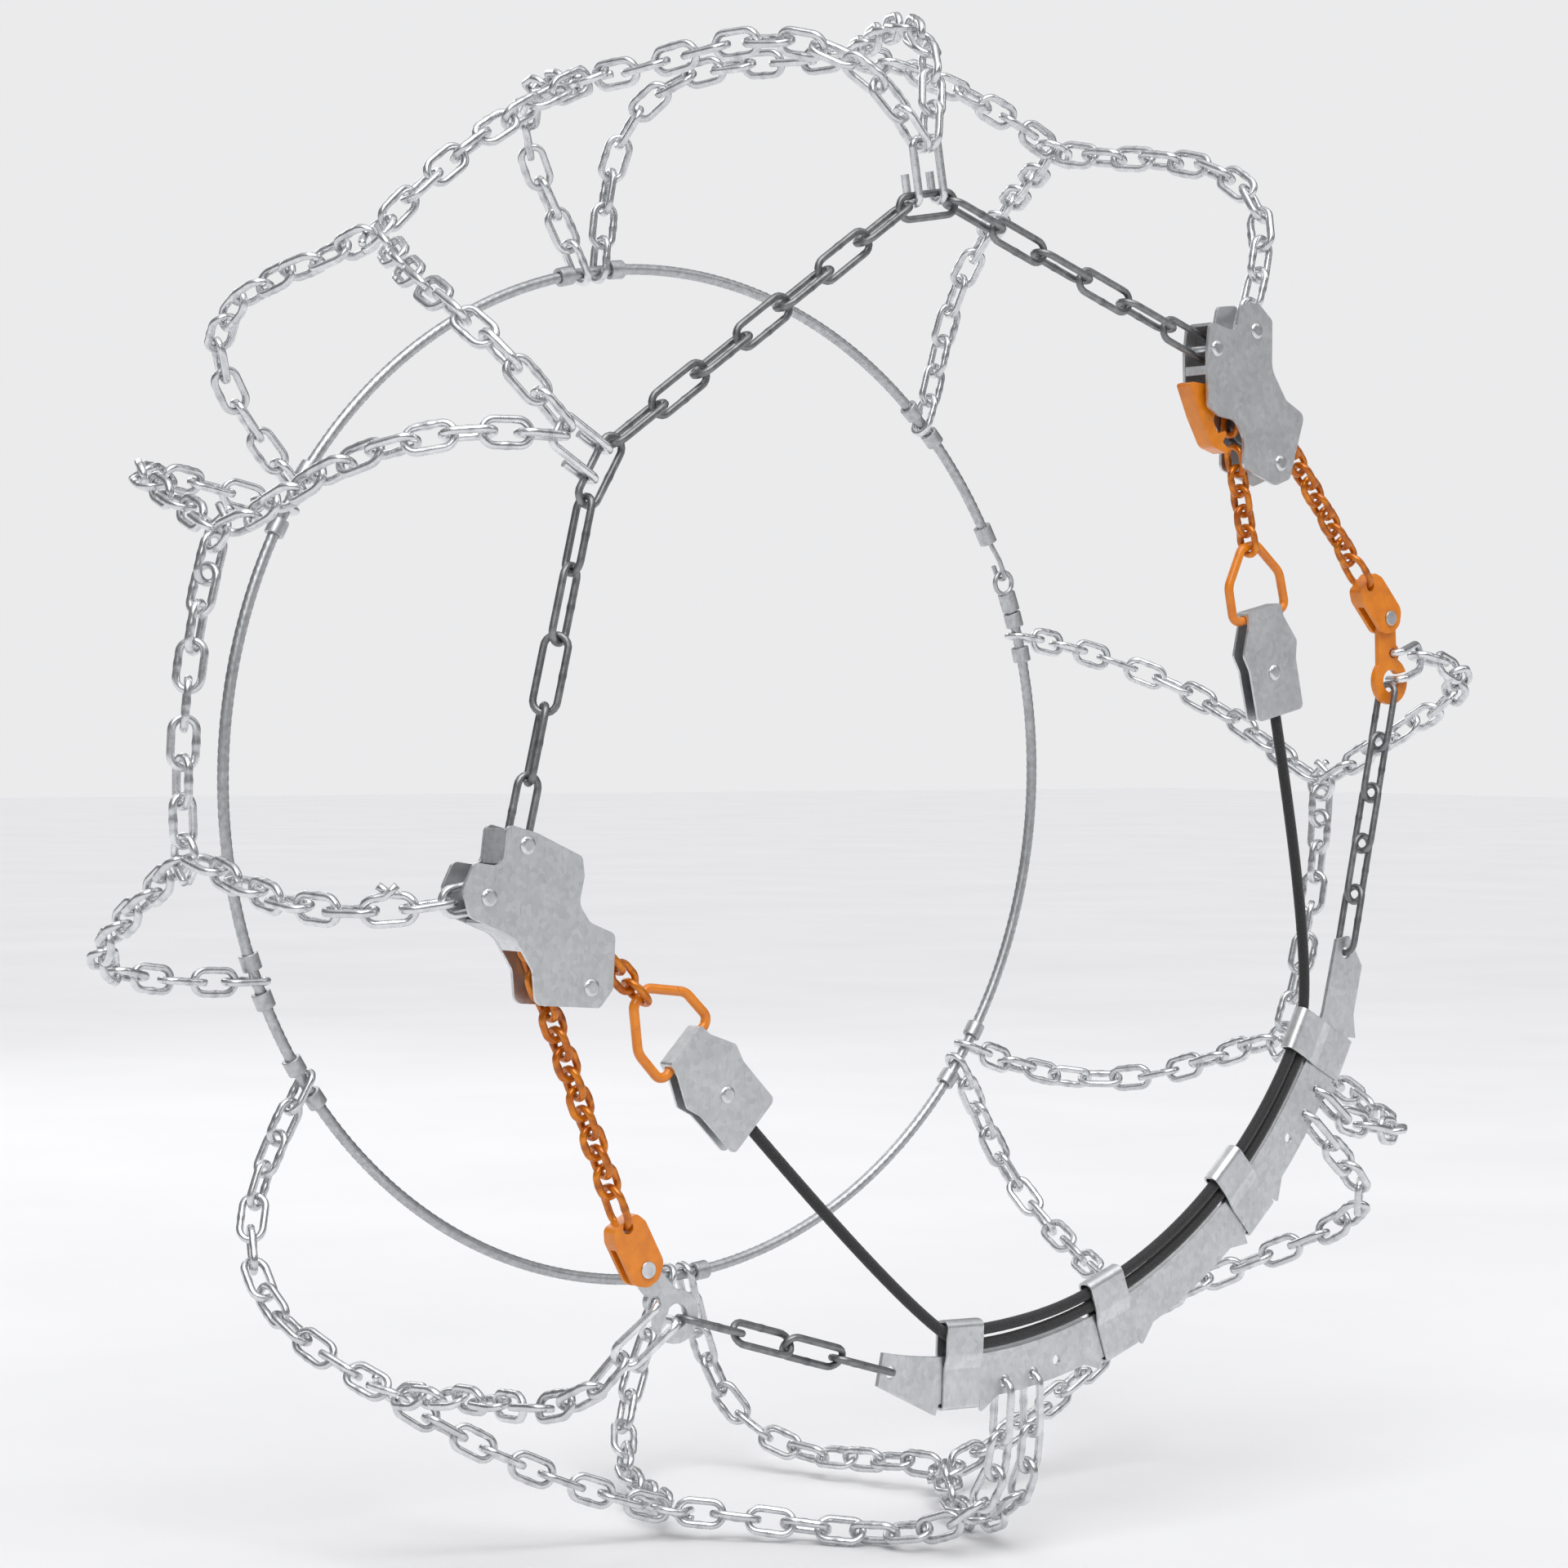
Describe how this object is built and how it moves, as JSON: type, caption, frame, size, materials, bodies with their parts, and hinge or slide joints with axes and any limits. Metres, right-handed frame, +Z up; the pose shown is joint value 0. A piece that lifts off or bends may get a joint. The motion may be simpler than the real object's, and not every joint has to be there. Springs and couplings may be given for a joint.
{
  "type": "tire snow chains",
  "caption": "Self-tensioning snow chain fitted round a car tyre: zigzag tread net, side chain with two ratchets, pull rings, elastic cords and inner hoop.",
  "frame": {"origin": "centre of the wheel that the chain is fitted to, at mid-tread", "axes": "+Y along the wheel axle towards the car, -Y on the outer side with the ratchets; +Z up; +X to the right seen from outside"},
  "size_m": [0.6609, 0.2559, 0.6586],
  "materials": {
    "tread_chain": "bright zinc plated",
    "side_chain": "grey zinc phosphate, matt",
    "zinc_wire": "bright zinc plated",
    "orange_paint": "semi-gloss orange enamel",
    "rivet_steel": "satin",
    "zinc_sheet": "zinc plated pressed sheet",
    "wheel_steel": "satin",
    "spring_steel": "oiled",
    "elastic_cord": "braided textile sheath",
    "hoop_steel": "galvanised wire rope"
  },
  "bodies": {
    "net": {"outer_strand_left_ratchet": "tread_chain", "outer_strands_left_hook": "tread_chain", "outer_strands_top_hook": "tread_chain", "outer_strand_right_ratchet": "tread_chain", "outer_strand_left_corner": "tread_chain", "outer_strands_arc_low": "tread_chain", "outer_strands_arc_side": "tread_chain", "outer_strand_right_corner": "tread_chain", "inner_strand_left_ratchet": "tread_chain", "inner_strands_left_hook": "tread_chain", "inner_strands_top_hook": "tread_chain", "inner_strand_right_ratchet": "tread_chain", "inner_strand_left_corner": "tread_chain", "inner_strands_arc_low": "tread_chain", "inner_strands_arc_side": "tread_chain", "inner_strand_right_corner": "tread_chain", "centre_strands_upper": "tread_chain", "centre_strands_lower": "tread_chain", "joint_rings": "tread_chain", "side_chain_left": "side_chain", "side_chain_top": "side_chain", "side_chain_right": "side_chain", "edge_hooks": "zinc_wire", "side_chain_low_left": "side_chain", "side_chain_low_right": "side_chain", "ratchet_front_plate_left": "zinc_sheet", "ratchet_back_plate_left": "zinc_sheet", "ratchet_pins_left": "rivet_steel", "lever_spring_left": "spring_steel", "tension_chain_left": "orange_paint", "pull_cord_left": "elastic_cord", "ratchet_front_plate_right": "zinc_sheet", "ratchet_back_plate_right": "zinc_sheet", "ratchet_pins_right": "rivet_steel", "lever_spring_right": "spring_steel", "tension_chain_right": "orange_paint", "pull_cord_right": "elastic_cord", "chain_clip_left": "orange_paint", "corner_hook_left": "zinc_sheet", "chain_clip_right": "orange_paint", "corner_hook_right": "orange_paint", "clip_pins": "rivet_steel", "strand_shackles": "zinc_wire", "arc_plate": "zinc_sheet", "arc_clips": "zinc_sheet", "inner_hoop": "hoop_steel", "hoop_sleeves": "hoop_steel", "hoop_coupling": "hoop_steel"},
    "lever_left": {"release_lever_left": "orange_paint"},
    "wheel_left": {"chain_wheel_left": "wheel_steel"},
    "pull_left": {"free_chain_left": "orange_paint", "pull_ring_left": "orange_paint", "pull_bracket_left": "zinc_sheet", "bracket_rivet_left": "rivet_steel"},
    "lever_right": {"release_lever_right": "orange_paint"},
    "wheel_right": {"chain_wheel_right": "wheel_steel"},
    "pull_right": {"free_chain_right": "orange_paint", "pull_ring_right": "orange_paint", "pull_bracket_right": "zinc_sheet", "bracket_rivet_right": "rivet_steel"}
  },
  "joints": [
    {"name": "lever_left_release", "type": "hinge", "parent": "net", "child": "lever_left", "pos_m": [-0.22859, -0.121, -0.02994], "axis": [0, -1, 0], "range_deg": [0, 16]},
    {"name": "wheel_left_spin", "type": "hinge", "parent": "net", "child": "wheel_left", "pos_m": [-0.22983, -0.121, -0.06071], "axis": [0, 1, 0], "continuous": true},
    {"name": "pull_left_slide", "type": "slide", "parent": "net", "child": "pull_left", "axis": [0.7116, 0, -0.7026], "range_m": [0, 0.01], "deforming": ["pull_cord_left"]},
    {"name": "lever_right_release", "type": "hinge", "parent": "net", "child": "lever_right", "pos_m": [0.11862, -0.121, 0.16839], "axis": [0, 1, 0], "range_deg": [0, 16]},
    {"name": "wheel_right_spin", "type": "hinge", "parent": "net", "child": "wheel_right", "pos_m": [0.14772, -0.121, 0.15832], "axis": [0, 1, 0], "continuous": true},
    {"name": "pull_right_slide", "type": "slide", "parent": "net", "child": "pull_right", "axis": [0.2305, 0, -0.9731], "range_m": [0, 0.01], "deforming": ["pull_cord_right"]}
  ]
}
